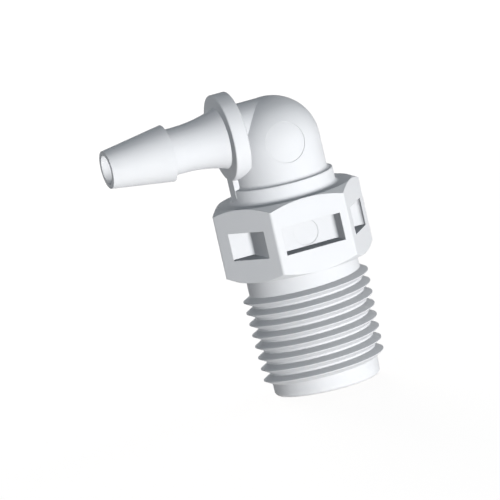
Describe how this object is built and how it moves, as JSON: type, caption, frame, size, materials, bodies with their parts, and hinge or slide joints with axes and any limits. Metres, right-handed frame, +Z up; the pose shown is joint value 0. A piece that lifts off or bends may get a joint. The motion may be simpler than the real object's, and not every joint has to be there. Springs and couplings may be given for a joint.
{
  "type": "barbed elbow fitting",
  "caption": "Right-angle plastic tube fitting: tapered male pipe thread, hexagon for a spanner, domed elbow and a single hose barb.",
  "frame": {"origin": "centre of the threaded end's face, on the thread's axis", "axes": "+Z up the thread's axis, from the threaded end to the dome; the hose barb points towards -X; two of the hexagon's flats face -Y and +Y"},
  "size_m": [0.0206, 0.0112, 0.0254],
  "materials": {
    "moulded_plastic": "as moulded, white, low sheen"
  },
  "bodies": {
    "root": {"elbow_fitting": "moulded_plastic"}
  },
  "joints": []
}
